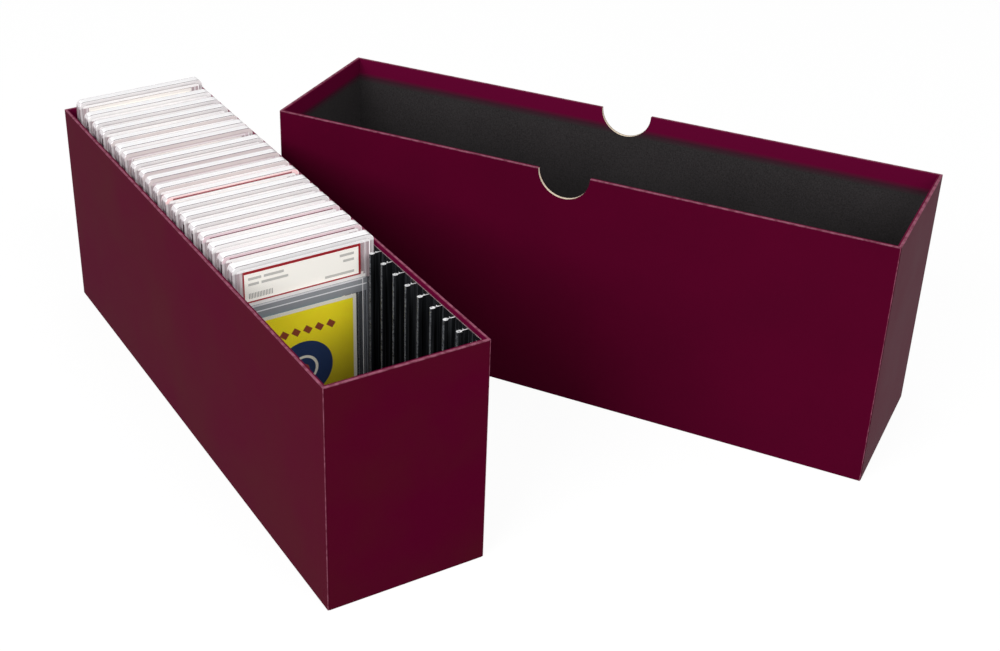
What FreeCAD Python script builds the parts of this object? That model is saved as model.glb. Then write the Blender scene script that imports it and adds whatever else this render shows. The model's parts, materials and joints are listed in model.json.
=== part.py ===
import FreeCAD, Part
import os
import re
import Sketcher

# Slotted storage box for graded trading cards, in millimetres.
#
# A tray of paper-wrapped greyboard carries a row of clear card slabs, which stand upright between
# the ribs of two black plastic inserts. A taller slip cover stands beside it with its mouth up. In
# use the cover is turned over and slid down over the tray.
#
# Frame of the part: origin at the middle of the tray's underside, +X to the tray's right, +Y to its
# back and +Z up. The cover is drawn in a frame of its own (long axis along Y, underside at Z = 0,
# mouth up) and then placed. A slab is drawn in a third frame: X across it, Y through it with the
# front at -Y and the joint between its two shells at Y = 0, Z up from its lower edge.

# ---------------------------------------------------------------------------------------------
# Driving dimensions: name, millimetres (or a plain number), meaning
# ---------------------------------------------------------------------------------------------
SIZES = (
    ("tray_length", 366.0, "outside length of the tray"),
    ("tray_width", 91.0, "outside width of the tray"),
    ("tray_height", 133.5, "outside height of the tray"),
    ("board_thick", 1.5, "greyboard of the walls, floor and top"),
    ("wrap_thick", 0.2, "covering paper"),
    ("liner_thick", 0.3, "lining paper"),
    ("pad_thick", 1.8, "padded lining of the tray's floor and the cover's top"),
    ("tape_thick", 0.15, "stay tape round the corners of the board"),
    ("tape_leg", 20.0, "width of the stay tape on each side of a corner"),
    ("tape_margin", 3.0, "stay tape ends this far short of the board's edges"),
    ("flap_width", 15.0, "covering paper turned onto the ends and the underside"),
    ("paper_margin", 1.0, "end and base papers stop this far from the edges"),
    ("turn_in", 15.0, "covering paper turned down inside the mouth"),
    ("band_height", 12.0, "height of the turned-in paper that the lining leaves bare"),
    ("slot_count", 27, "slots along the tray"),
    ("first_rib_gap", 0.4, "gap from the front lining to the first rib"),
    ("last_rib_gap", 7.2, "gap from the last rib to the back lining"),
    ("sheet_thick", 0.5, "backing sheet of the ribbed inserts"),
    ("sheet_gap", 0.05, "gap between a backing sheet and the wall"),
    ("sheet_drop", 2.1, "top of the right insert below the tray's rim"),
    ("left_drop", 12.0, "top of the left insert below the tray's rim"),
    ("rib_reach", 6.8, "rib, from the backing sheet to its edge"),
    ("rib_web", 0.6, "thickness of a rib's web"),
    ("rib_bead", 2.3, "thickness of the bead along a rib's edge"),
    ("bead_depth", 3.0, "depth of the bead along a rib's edge"),
    ("barb_place", 2.5, "barb behind a rib's web, from the backing sheet"),
    ("barb_thick", 0.5, "thickness of the barb"),
    ("barb_reach", 1.3, "barb, from the middle of its rib towards the back"),
    ("slab_width", 82.5, "outside width of a card slab"),
    ("slab_height", 136.5, "outside height of a card slab"),
    ("slab_thick", 6.3, "outside thickness of a card slab"),
    ("slab_corner", 3.5, "corner radius of a card slab"),
    ("slab_rim", 3.0, "width of the raised rim round a slab's faces"),
    ("slab_recess", 0.5, "depth of a slab's face below its rim"),
    ("slab_gap", 0.25, "least gap between a slab and a rib"),
    ("seat_gap", 0.2, "gap under a slab"),
    ("card_width", 63.5, "trading card"),
    ("card_height", 88.9, "trading card"),
    ("card_thick", 0.35, "trading card"),
    ("card_drop", 35.7, "top of the card below the slab's top"),
    ("card_gap", 0.5, "gap round the card inside its sleeve"),
    ("sleeve_film", 0.5, "wall of the clear sleeve round the card"),
    ("label_width", 69.5, "paper label"),
    ("label_height", 19.0, "paper label"),
    ("label_thick", 0.3, "paper label"),
    ("label_drop", 5.6, "top of the label below the slab's top"),
    ("pocket_gap", 0.6, "gap round the label and the sleeve in their pockets"),
    ("pocket_slack", 0.1, "gap before and behind the label and the sleeve"),
    ("cover_fit", 1.4, "gap between the tray and the cover, on each side"),
    ("head_room", 3.6, "gap between the slabs and the cover's inside when it is on"),
    ("thumb_radius", 15.7, "thumb notches in the cover's long sides"),
    ("cover_x", 203.3, "middle of the cover, to the right of the tray's middle"),
    ("cover_y", -43.2, "middle of the cover, behind the tray's middle"),
    ("cover_angle", 33.3, "degrees that the cover is turned, seen from above"),
)

# Sizes that follow from the driving ones, as formulas of their names
DERIVED = {
    "side_skin": "wrap_thick + tape_thick",
    "end_skin": "2 * wrap_thick + tape_thick",
    "base_skin": "2 * wrap_thick",
    "floor_top": "base_skin + board_thick + pad_thick",
    "seat_top": "floor_top + seat_gap",
    # half sizes of the tray, from its outside inwards
    "tray_x": "tray_width / 2",
    "tray_y": "tray_length / 2",
    "tray_board_x": "tray_x - side_skin",
    "tray_board_y": "tray_y - end_skin",
    "tray_room_x": "tray_board_x - board_thick",
    "tray_room_y": "tray_board_y - board_thick",
    "tray_clear_x": "tray_room_x - wrap_thick",
    "tray_clear_y": "tray_room_y - wrap_thick - liner_thick",
    # inserts
    "sheet_back": "tray_clear_x - sheet_gap",
    "sheet_face": "sheet_back - sheet_thick",
    "sheet_end": "tray_clear_y - sheet_gap",
    "right_top": "tray_height - sheet_drop",
    "left_top": "tray_height - left_drop",
    "first_rib": "-tray_clear_y + first_rib_gap + rib_bead / 2",
    "slot_pitch": "(2 * tray_clear_y - first_rib_gap - last_rib_gap - rib_bead) / slot_count",
    "bead_edge": "sheet_face - rib_reach + rib_bead / 2",
    "bead_root": "sheet_face - rib_reach + bead_depth - rib_bead / 2",
    "slot_play": "(slot_pitch - rib_bead - slab_thick) / 2 - slab_gap",
    # slab
    "slab_face": "slab_thick / 2",
    "slab_panel": "slab_face - slab_recess",
    "label_low": "slab_height - label_drop - label_height",
    "card_low": "slab_height - card_drop - card_height",
    "sleeve_half": "card_width / 2 + card_gap + sleeve_film",
    "sleeve_low": "card_low - card_gap - sleeve_film",
    "sleeve_high": "card_low + card_height + 2 * card_gap",
    "sleeve_face": "card_thick / 2 + card_gap / 4 + sleeve_film",
    "sleeve_pocket": "sleeve_face + pocket_slack",
    "label_pocket": "label_thick / 2 + pocket_slack",
    # half sizes of the cover, from its inside outwards
    "cover_clear_x": "tray_x + cover_fit",
    "cover_clear_y": "tray_y + cover_fit",
    "cover_band_x": "cover_clear_x + liner_thick",
    "cover_band_y": "cover_clear_y + liner_thick",
    "cover_room_x": "cover_band_x + wrap_thick",
    "cover_room_y": "cover_band_y + wrap_thick",
    "cover_board_x": "cover_room_x + board_thick",
    "cover_board_y": "cover_room_y + board_thick",
    "cover_x_out": "cover_board_x + side_skin",
    "cover_y_out": "cover_board_y + end_skin",
    "cover_height": "seat_top + slab_height + head_room + floor_top",
}

# Slabs from the front of the tray to the back: the slots in front of them stand empty. Each pair
# says where the slab stands in its slot at its foot and at the ribs' top, from -1 (against the rib
# in front) to 1 (against the rib behind).
EMPTY_SLOTS = 8
# The last slab isn't pushed right down: the ribs hold it this many millimetres above its seat.
PROUD_SLABS = {19: 3.0}
LEANS = (
    (0.3, 0.7), (0.4, 0.9), (0.3, 0.9), (0.4, 1.0), (0.5, 1.0), (0.0, 0.7), (-0.4, 0.3),
    (0.2, 1.0), (0.3, 1.0), (0.4, 1.0), (0.1, -0.6), (0.0, -0.6), (-0.2, 0.8), (-0.3, -0.8),
    (-0.4, -0.85), (0.3, 0.0), (0.1, -0.3), (0.0, 0.3), (0.3, 1.0),
)

doc = FreeCAD.newDocument("CardSlabBox")
sizes = doc.addObject("Spreadsheet::Sheet", "Sizes")
for row, (alias, number, meaning) in enumerate(SIZES, start=1):
    sizes.set(f"A{row}", meaning)
    sizes.set(f"B{row}", str(number))
    sizes.setAlias(f"B{row}", alias)
doc.recompute()

DRIVING = {alias for alias, number, meaning in SIZES}


def formula(text):
    """Write a formula of size names as an expression of the sheet's cells."""
    def cell(match):
        word = match.group()
        if word in DERIVED:
            return f"({formula(DERIVED[word])})"
        return f"Sizes.{word}" if word in DRIVING else word
    return re.sub(r"[a-z_]+", cell, text)


def bind(thing, **formulas):
    """Tie properties to formulas; a double underscore stands for a dot in a property's name."""
    for name, text in formulas.items():
        thing.setExpression(name.replace("__", "."), formula(text))


# ---------------------------------------------------------------------------------------------
# Ways to make a piece
# ---------------------------------------------------------------------------------------------
def block(name, x, y, z):
    """A box from its low to its high formula along each axis."""
    piece = doc.addObject("Part::Box", name)
    for length, base, (low, high) in (("Length", "x", x), ("Width", "y", y), ("Height", "z", z)):
        bind(piece, **{length: f"({high}) - ({low})", f"Placement__Base__{base}": low})
    return piece


def both_ways(half):
    """The span from minus a half size to plus it."""
    return f"-({half})", half


def on_side(sign, inner, outer):
    """The span between two distances from the middle, on the side that sign names."""
    return (inner, outer) if sign > 0 else (f"-({outer})", f"-({inner})")


def fuse(name, pieces):
    """One solid from several that touch or overlap."""
    joined = doc.addObject("Part::MultiFuse", name)
    joined.Shapes = pieces
    joined.Refine = True
    return joined


def cut(name, base, tool):
    """A piece less the space of another."""
    left = doc.addObject("Part::Cut", name)
    left.Base = base
    left.Tool = tool
    return left


def group(name, pieces):
    """Separate solids under one name and one placement."""
    several = doc.addObject("Part::Compound", name)
    several.Links = pieces
    return several


def plane(body, role):
    """One of a body's own origin planes."""
    return [feature for feature in body.Origin.OriginFeatures if feature.Role == role][0]


def sketch_on(body, name, role, height=None):
    """An empty sketch on an origin plane of its body, or parallel to it."""
    sketch = body.newObject("Sketcher::SketchObject", name)
    sketch.AttachmentSupport = (plane(body, role), [""])
    sketch.MapMode = "FlatFace"
    if height:
        bind(sketch, AttachmentOffset__Base__z=height)
    return sketch


def measure(sketch, kind, edge, end, distance):
    """Hold an end of an edge at a formula's distance from the sketch's origin."""
    start = 5.0
    index = sketch.addConstraint(Sketcher.Constraint(kind, -1, 1, edge, end, start))
    bind(sketch, **{f"Constraints[{index}]": distance})


def draw_rectangle(sketch, across, up):
    """A rectangle between two low and high formulas."""
    corners = [FreeCAD.Vector(x, y, 0) for x, y in ((0, 0), (9, 0), (9, 9), (0, 9))]
    for index, corner in enumerate(corners):
        sketch.addGeometry(Part.LineSegment(corner, corners[(index + 1) % 4]))
    for index in range(4):
        sketch.addConstraint(Sketcher.Constraint("Coincident", index, 2, (index + 1) % 4, 1))
        direction = "Horizontal" if index % 2 == 0 else "Vertical"
        sketch.addConstraint(Sketcher.Constraint(direction, index))
    for edge, place in ((0, 0), (2, 1)):
        measure(sketch, "DistanceX", edge, 1, across[place])
        measure(sketch, "DistanceY", edge, 1, up[place])


def draw_circle(sketch, across, up, diameter):
    """A circle about a point given by two formulas."""
    sketch.addGeometry(Part.Circle(FreeCAD.Vector(5, 5, 0), FreeCAD.Vector(0, 0, 1), 1))
    measure(sketch, "DistanceX", 0, 3, across)
    measure(sketch, "DistanceY", 0, 3, up)
    index = sketch.addConstraint(Sketcher.Constraint("Diameter", 0, 2.0))
    bind(sketch, **{f"Constraints[{index}]": diameter})


def pad(body, sketch, length, backwards=False):
    """Give a sketch a thickness."""
    feature = body.newObject("PartDesign::Pad", f"{sketch.Name}_pad")
    feature.Profile = sketch
    feature.Reversed = backwards
    bind(feature, Length=length)
    return feature


def pocket(body, sketch, depth, backwards=False):
    """Sink a sketch into a body."""
    feature = body.newObject("PartDesign::Pocket", f"{sketch.Name}_pocket")
    feature.Profile = sketch
    feature.Reversed = backwards
    bind(feature, Length=depth)
    return feature


# ---------------------------------------------------------------------------------------------
# Pieces that the tray and the cover have alike
# ---------------------------------------------------------------------------------------------
class Shell:
    """Half sizes and heights of a board box, as formulas."""

    def __init__(self, name, x, y, board_x, board_y, room_x, room_y, height, ends):
        self.name = name
        self.x, self.y = x, y
        self.board_x, self.board_y = board_x, board_y
        self.room_x, self.room_y = room_x, room_y
        self.height = height
        self.low_end, self.high_end = ends


TRAY = Shell("tray", "tray_x", "tray_y", "tray_board_x", "tray_board_y", "tray_room_x",
             "tray_room_y", "tray_height", ("front", "back"))
COVER = Shell("cover", "cover_x_out", "cover_y_out", "cover_board_x", "cover_board_y",
              "cover_room_x", "cover_room_y", "cover_height", ("right", "left"))


def make_floor_board(shell, name):
    """The flat board between the walls."""
    return block(name, both_ways(shell.room_x), both_ways(shell.room_y),
                 ("base_skin", "base_skin + board_thick"))


def make_end_board(shell, name, sign):
    """A short wall, between the two long ones."""
    return block(name, both_ways(shell.room_x), on_side(sign, shell.room_y, shell.board_y),
                 ("base_skin", f"{shell.height} - wrap_thick"))


def make_corner_tapes(shell, name):
    """Four strips of stay tape, one folded round each upright corner of the board."""
    height = ("base_skin + tape_margin", f"{shell.height} - wrap_thick - tape_margin")
    tapes = []
    for x_sign in (-1, 1):
        for y_sign in (-1, 1):
            place = f"{name}_{'right' if x_sign > 0 else 'left'}_{'high' if y_sign > 0 else 'low'}"
            long_leg = block(f"{place}_long",
                             on_side(x_sign, shell.board_x, f"{shell.board_x} + tape_thick"),
                             on_side(y_sign, f"{shell.board_y} - tape_leg",
                                     f"{shell.board_y} + tape_thick"), height)
            short_leg = block(f"{place}_short",
                              on_side(x_sign, f"{shell.board_x} - tape_leg", shell.board_x),
                              on_side(y_sign, shell.board_y, f"{shell.board_y} + tape_thick"),
                              height)
            tapes.append(fuse(place, [long_leg, short_leg]))
    return group(name, tapes)


def make_side_wrap(shell, name, sign):
    """Covering paper of a long side: turned in over the rim, round both ends and under the base."""
    top = shell.height
    edge_y = f"{shell.y} - wrap_thick"
    sheet = block(f"{name}_sheet", on_side(sign, f"{shell.x} - wrap_thick", shell.x),
                  both_ways(edge_y), ("wrap_thick", top))
    rim = block(f"{name}_rim", on_side(sign, f"{shell.room_x} - wrap_thick", shell.x),
                both_ways(edge_y), (f"{top} - wrap_thick", top))
    inside = block(f"{name}_inside", on_side(sign, f"{shell.room_x} - wrap_thick", shell.room_x),
                   both_ways(shell.room_y), (f"{top} - turn_in", top))
    under = block(f"{name}_under", on_side(sign, f"{shell.x} - flap_width", shell.x),
                  both_ways(edge_y), ("wrap_thick", "base_skin"))
    flaps = [block(f"{name}_flap_{place}", on_side(sign, f"{shell.x} - flap_width", shell.x),
                   on_side(y_sign, f"{shell.y} - base_skin", edge_y),
                   ("wrap_thick", f"{top} - wrap_thick"))
             for place, y_sign in (("low", -1), ("high", 1))]
    return fuse(name, [sheet, rim, inside, under] + flaps)


def make_end_paper(shell, name, sign):
    """Covering paper of a short side, laid over the flaps of the side wraps."""
    top = shell.height
    between = both_ways(f"{shell.room_x} - wrap_thick")
    sheet = block(f"{name}_sheet", both_ways(f"{shell.x} - paper_margin"),
                  on_side(sign, f"{shell.y} - wrap_thick", shell.y), ("wrap_thick", top))
    rim = block(f"{name}_rim", between, on_side(sign, f"{shell.room_y} - wrap_thick", shell.y),
                (f"{top} - wrap_thick", top))
    inside = block(f"{name}_inside", between,
                   on_side(sign, f"{shell.room_y} - wrap_thick", shell.room_y),
                   (f"{top} - turn_in", top))
    under = block(f"{name}_under", both_ways(f"{shell.x} - flap_width - paper_margin"),
                  on_side(sign, f"{shell.y} - flap_width", shell.y), ("wrap_thick", "base_skin"))
    return fuse(name, [sheet, rim, inside, under])


def make_base_paper(shell, name):
    """The sheet that covers the turned flaps, which the box stands on."""
    return block(name, both_ways(f"{shell.x} - paper_margin"),
                 both_ways(f"{shell.y} - paper_margin"), ("0", "wrap_thick"))


# ---------------------------------------------------------------------------------------------
# Tray
# ---------------------------------------------------------------------------------------------
def make_tray():
    """The open tray, without its ribbed inserts."""
    nodes = [make_floor_board(TRAY, "tray_floor_board")]
    for side, sign in (("left", -1), ("right", 1)):
        nodes.append(block(f"tray_{side}_board", on_side(sign, "tray_room_x", "tray_board_x"),
                           both_ways("tray_board_y"), ("base_skin", "tray_height - wrap_thick")))
        nodes.append(make_side_wrap(TRAY, f"tray_{side}_wrap", sign))
    for end, sign in (("front", -1), ("back", 1)):
        nodes.append(make_end_board(TRAY, f"tray_{end}_board", sign))
        nodes.append(make_end_paper(TRAY, f"tray_{end}_paper", sign))
    nodes.append(make_corner_tapes(TRAY, "tray_corner_tapes"))
    nodes.append(make_base_paper(TRAY, "tray_base_paper"))
    nodes.append(block("tray_floor_liner", both_ways("tray_room_x"), both_ways("tray_room_y"),
                       ("base_skin + board_thick", "floor_top")))
    end_liners = [block(f"tray_{end}_liner", both_ways("tray_clear_x"),
                        on_side(sign, "tray_clear_y", "tray_room_y - wrap_thick"),
                        ("floor_top", "tray_height - band_height"))
                  for end, sign in (("front", -1), ("back", 1))]
    nodes.append(group("tray_end_liners", end_liners))
    return nodes


def make_ribs(name, sign, top):
    """A row of ribs on one long side: thin webs, each with a barb behind it and a bead at its edge."""
    body = doc.addObject("PartDesign::Body", name)
    barb_low, barb_high = "barb_place - barb_thick / 2", "barb_place + barb_thick / 2"
    strips = {
        "web": ("bead_root", "sheet_face", "first_rib - rib_web / 2", "first_rib + rib_web / 2"),
        "barb": (f"sheet_face - ({barb_high})", f"sheet_face - ({barb_low})",
                 "first_rib - rib_web / 2", "first_rib + barb_reach"),
        "bead": ("bead_edge", "bead_root", "first_rib - rib_bead / 2", "first_rib + rib_bead / 2"),
    }
    features = []
    for strip, (inner, outer, low, high) in strips.items():
        outline = sketch_on(body, f"{name}_{strip}", "XY_Plane")
        draw_rectangle(outline, on_side(sign, inner, outer), (low, high))
        features.append(pad(body, outline, f"{top} - floor_top"))
    for middle in ("bead_edge", "bead_root"):
        outline = sketch_on(body, f"{name}_{middle}", "XY_Plane")
        draw_circle(outline, on_side(sign, middle, middle)[0], "first_rib", "rib_bead")
        features.append(pad(body, outline, f"{top} - floor_top"))
    doc.recompute()
    row = body.newObject("PartDesign::LinearPattern", f"{name}_row")
    row.Originals = features
    row.Direction = (features[0].Profile[0], ["V_Axis"])
    bind(row, Length="slot_pitch * slot_count", Occurrences="slot_count + 1")
    body.Tip = row
    bind(body, Placement__Base__z="floor_top")
    return body


def make_inserts():
    """The two ribbed inserts that divide the tray into slots."""
    nodes = []
    for side, sign in (("left", -1), ("right", 1)):
        nodes.append(block(f"{side}_rib_sheet", on_side(sign, "sheet_face", "sheet_back"),
                           both_ways("sheet_end"), ("floor_top", f"{side}_top")))
        nodes.append(make_ribs(f"{side}_ribs", sign, f"{side}_top"))
    return nodes


# ---------------------------------------------------------------------------------------------
# Card slab
# ---------------------------------------------------------------------------------------------
def make_slab_shell(name, sign):
    """Half of a slab's case: a raised rim outside, pockets for the label and the sleeve inside."""
    body = doc.addObject("PartDesign::Body", name)
    backwards = sign > 0
    outline = sketch_on(body, f"{name}_outline", "XZ_Plane")
    draw_rectangle(outline, both_ways("slab_width / 2"), ("0", "slab_height"))
    plate = pad(body, outline, "slab_face", backwards)
    doc.recompute()
    corners = body.newObject("PartDesign::Fillet", f"{name}_corners")
    corners.Base = (plate, [f"Edge{index}" for index, edge in enumerate(plate.Shape.Edges, 1)
                            if abs(edge.tangentAt(edge.FirstParameter).y) > 0.9])
    bind(corners, Radius="slab_corner")

    face = sketch_on(body, f"{name}_face", "XZ_Plane",
                     "-slab_face" if backwards else "slab_face")
    draw_rectangle(face, both_ways("slab_width / 2 - slab_rim"),
                   ("slab_rim", "slab_height - slab_rim"))
    pocket(body, face, "slab_recess", backwards)
    label = sketch_on(body, f"{name}_label", "XZ_Plane")
    draw_rectangle(label, both_ways("label_width / 2 + pocket_gap"),
                   ("label_low - pocket_gap", "label_low + label_height + pocket_gap"))
    pocket(body, label, "label_pocket", not backwards)
    sleeve = sketch_on(body, f"{name}_sleeve", "XZ_Plane")
    draw_rectangle(sleeve, both_ways("sleeve_half + pocket_gap"),
                   ("sleeve_low - pocket_gap", "sleeve_high + pocket_gap"))
    pocket(body, sleeve, "sleeve_pocket", not backwards)
    return body


def make_slab():
    """The five pieces of a slab, in the slab's own frame."""
    sleeve_outside = block("sleeve_outside", both_ways("sleeve_half"), both_ways("sleeve_face"),
                           ("sleeve_low", "sleeve_high"))
    sleeve_inside = block("sleeve_inside", both_ways("sleeve_half - sleeve_film"),
                          both_ways("sleeve_face - sleeve_film"),
                          ("sleeve_low + sleeve_film", "sleeve_high + sleeve_film"))
    return {
        "front_shell": make_slab_shell("slab_front_shell", -1),
        "rear_shell": make_slab_shell("slab_rear_shell", 1),
        "sleeve": cut("slab_sleeve", sleeve_outside, sleeve_inside),
        "label": block("slab_label", both_ways("label_width / 2"), both_ways("label_thick / 2"),
                       ("label_low", "label_low + label_height")),
        "card": block("slab_card", both_ways("card_width / 2"), both_ways("card_thick / 2"),
                      ("card_low", "card_low + card_height")),
    }


def stand_in_slot(piece, slot, foot, head, proud):
    """Place a slab's pieces in a slot, leaning from foot to head, and proud of its seat."""
    lean = f"atan(({head - foot:.2f}) * slot_play / (right_top - seat_top))"
    shift = f"first_rib + slot_pitch * {slot + 0.5} + ({foot}) * slot_play"
    raised = f"seat_top + {proud} + slab_face * sin(abs({lean}))"
    place = f"placement(vector(0; {shift}; {raised}); rotation(vector(1; 0; 0); -{lean}))"
    bind(piece, Placement=place)


def make_slabs():
    """The row of slabs: the foremost one piece by piece, the others one node each."""
    pieces = make_slab()
    nodes = []
    for number, (foot, head) in enumerate(LEANS, start=1):
        if number == 1:
            standing = [group(f"slab_01_{part}", [piece]) for part, piece in pieces.items()]
        else:
            standing = [group(f"slab_{number:02d}", list(pieces.values()))]
        for piece in standing:
            stand_in_slot(piece, EMPTY_SLOTS + number - 1, foot, head, PROUD_SLABS.get(number, 0))
        nodes += standing
    return nodes


# ---------------------------------------------------------------------------------------------
# Slip cover
# ---------------------------------------------------------------------------------------------
def make_notched_board(name, sign):
    """A long wall with a half-round thumb notch in the middle of its edge."""
    body = doc.addObject("PartDesign::Body", name)
    outline = sketch_on(body, f"{name}_outline", "YZ_Plane",
                        on_side(sign, "cover_room_x", "cover_board_x")[0])
    draw_rectangle(outline, both_ways("cover_board_y"), ("base_skin", "cover_height - wrap_thick"))
    pad(body, outline, "board_thick")
    notch = sketch_on(body, f"{name}_notch", "YZ_Plane",
                      on_side(sign, "cover_room_x", "cover_board_x")[1])
    notch.addGeometry(Part.Circle(FreeCAD.Vector(0, 5, 0), FreeCAD.Vector(0, 0, 1), 9))
    notch.addConstraint(Sketcher.Constraint("PointOnObject", 0, 3, -2))
    measure(notch, "DistanceY", 0, 3, "cover_height")
    radius = notch.addConstraint(Sketcher.Constraint("Radius", 0, 9.0))
    bind(notch, **{f"Constraints[{radius}]": "thumb_radius"})
    pocket(body, notch, "board_thick")
    return body


def make_thumb_cutter(name, sign):
    """A round bar through one long side, that cuts its papers to the notch."""
    bar = doc.addObject("Part::Cylinder", name)
    overrun = "board_thick"
    low = on_side(sign, f"cover_clear_x - {overrun}", f"cover_x_out + {overrun}")[0]
    bind(bar, Radius="thumb_radius", Height=f"cover_x_out - cover_clear_x + 2 * {overrun}",
         Placement=f"placement(vector({low}; 0; cover_height); rotation(vector(0; 1; 0); 90))")
    return bar


def make_cover():
    """The slip cover, mouth up, in its own frame."""
    pieces = {"cover_top_board": make_floor_board(COVER, "top_board")}
    liner_top = "cover_height - band_height"
    for side, sign in (("front", -1), ("rear", 1)):
        cutter = make_thumb_cutter(f"{side}_thumb_bar", sign)
        whole_wrap = make_side_wrap(COVER, f"{side}_whole_wrap", sign)
        whole_liner = block(f"{side}_whole_liner",
                            on_side(sign, "cover_clear_x", "cover_band_x"),
                            both_ways("cover_band_y"), ("floor_top", liner_top))
        pieces[f"cover_{side}_board"] = make_notched_board(f"{side}_board", sign)
        pieces[f"cover_{side}_wrap"] = cut(f"{side}_wrap", whole_wrap, cutter)
        pieces[f"cover_{side}_liner"] = cut(f"{side}_liner", whole_liner, cutter)
    for end, sign in (("right", -1), ("left", 1)):
        pieces[f"cover_{end}_board"] = make_end_board(COVER, f"{end}_board", sign)
        pieces[f"cover_{end}_paper"] = make_end_paper(COVER, f"{end}_paper", sign)
        pieces[f"cover_{end}_liner"] = block(f"{end}_liner", both_ways("cover_clear_x"),
                                             on_side(sign, "cover_clear_y", "cover_band_y"),
                                             ("floor_top", liner_top))
    pieces["cover_corner_tapes"] = make_corner_tapes(COVER, "corner_tapes")
    pieces["cover_top_paper"] = make_base_paper(COVER, "top_paper")
    pieces["cover_top_liner"] = block("top_liner", both_ways("cover_room_x"),
                                      both_ways("cover_room_y"),
                                      ("base_skin + board_thick", "floor_top"))
    nodes = []
    for label, piece in pieces.items():
        node = group(label, [piece])
        bind(node, Placement="placement(vector(cover_x; cover_y; 0); "
                             "rotation(vector(0; 0; 1); cover_angle))")
        nodes.append(node)
    return nodes


# ---------------------------------------------------------------------------------------------
# The whole part
# ---------------------------------------------------------------------------------------------
nodes = make_tray() + make_inserts() + make_slabs() + make_cover()
for node in nodes:
    node.Label = node.Name
doc.recompute()

for thing in doc.Objects:
    if "Invalid" in thing.State or "Error" in thing.State:
        raise RuntimeError(f"{thing.Name} failed: {thing.State}")
for node in nodes:
    if node.Shape.isNull() or not node.Shape.isValid() or not node.Shape.Solids:
        raise RuntimeError(f"{node.Label} is not a valid solid")

os.makedirs("parts", exist_ok=True)
for node in nodes:
    node.Shape.exportStep(f"parts/{node.Label}.step")
    box = node.Shape.BoundBox
    print(f"{node.Label:24s} solids {len(node.Shape.Solids):3d}  volume {node.Shape.Volume:10.1f}"
          f"  x {box.XMin:7.1f} {box.XMax:7.1f}  y {box.YMin:7.1f} {box.YMax:7.1f}"
          f"  z {box.ZMin:6.2f} {box.ZMax:6.2f}")
print(len(nodes), "nodes")
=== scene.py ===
# %% [markdown]
# # A storage box for graded trading cards
#
# The real object is a tray and a slip cover, both of greyboard wrapped in burgundy paper. The tray
# holds a row of clear plastic slabs, each with a paper label and a card sealed inside, between the
# ribs of two black plastic inserts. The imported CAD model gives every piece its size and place. This
# lesson gives the pieces their finish, and models again those whose look needs more than a plain
# solid.

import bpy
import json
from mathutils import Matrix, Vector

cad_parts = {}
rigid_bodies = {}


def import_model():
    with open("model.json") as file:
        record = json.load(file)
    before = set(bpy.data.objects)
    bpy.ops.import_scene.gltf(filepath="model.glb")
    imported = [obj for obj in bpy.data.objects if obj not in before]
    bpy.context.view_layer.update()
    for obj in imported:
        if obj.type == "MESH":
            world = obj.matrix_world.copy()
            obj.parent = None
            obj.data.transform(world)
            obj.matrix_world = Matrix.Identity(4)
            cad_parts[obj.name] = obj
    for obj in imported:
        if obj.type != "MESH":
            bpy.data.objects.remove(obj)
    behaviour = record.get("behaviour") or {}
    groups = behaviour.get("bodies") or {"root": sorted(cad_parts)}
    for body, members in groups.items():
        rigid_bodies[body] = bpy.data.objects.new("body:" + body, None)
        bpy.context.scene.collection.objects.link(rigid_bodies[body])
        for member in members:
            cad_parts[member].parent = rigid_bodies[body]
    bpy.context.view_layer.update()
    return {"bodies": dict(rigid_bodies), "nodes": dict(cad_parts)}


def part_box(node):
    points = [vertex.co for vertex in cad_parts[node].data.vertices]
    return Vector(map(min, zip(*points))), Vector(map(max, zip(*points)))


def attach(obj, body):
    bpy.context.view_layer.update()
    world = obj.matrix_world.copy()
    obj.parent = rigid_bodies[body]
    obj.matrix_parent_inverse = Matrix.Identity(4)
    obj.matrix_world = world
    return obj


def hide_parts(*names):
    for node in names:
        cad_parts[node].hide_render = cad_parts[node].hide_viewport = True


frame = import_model()

# %% Tools for the lesson
import json
import math

import bmesh
import bpy
from mathutils import Matrix, Vector

MM = 0.001
nodes = frame["nodes"]
tray_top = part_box("tray_right_wrap")[1][2]
cover_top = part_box("cover_front_wrap")[1][2]


def corners_of(points):
    """The lowest and the highest corner round some points."""
    low = Vector([min(point[axis] for point in points) for axis in range(3)])
    high = Vector([max(point[axis] for point in points) for axis in range(3)])
    return low, high


print("tray rim at", round(tray_top / MM, 2), "mm, cover rim at", round(cover_top / MM, 2), "mm")

# %% [markdown]
# ## The camera
#
# The camera stands in front of the tray's left corner and looks down on both boxes. Its angles and
# place are written as a photographer would note them: height, distance, pan, tilt and roll. The
# boxes sit a little off the lens's axis, so the lens is shifted by a small part of the frame.

# %% Set up the camera
CAMERA_PLACE = (-0.3213, -0.7542, 0.5486)
CAMERA_PAN = math.radians(-27.669)
CAMERA_TILT = math.radians(30.166)
CAMERA_ROLL = math.radians(-0.407)
LENS_MM = 59.018
SENSOR_MM = 36
LENS_SHIFT = (0.1323, -0.0245)

bpy.ops.object.camera_add(location=CAMERA_PLACE)
camera = bpy.context.active_object
camera.name = "camera"
turn = (Matrix.Rotation(CAMERA_PAN, 3, "Z")
        @ Matrix.Rotation(math.pi / 2 - CAMERA_TILT, 3, "X")
        @ Matrix.Rotation(CAMERA_ROLL, 3, "Z"))
camera.rotation_euler = turn.to_euler()
camera.data.lens = LENS_MM
camera.data.sensor_width = SENSOR_MM
camera.data.shift_x, camera.data.shift_y = LENS_SHIFT
bpy.context.scene.camera = camera
bpy.context.scene.view_settings.view_transform = "Standard"
print("camera", tuple(round(value, 3) for value in camera.location))

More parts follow.
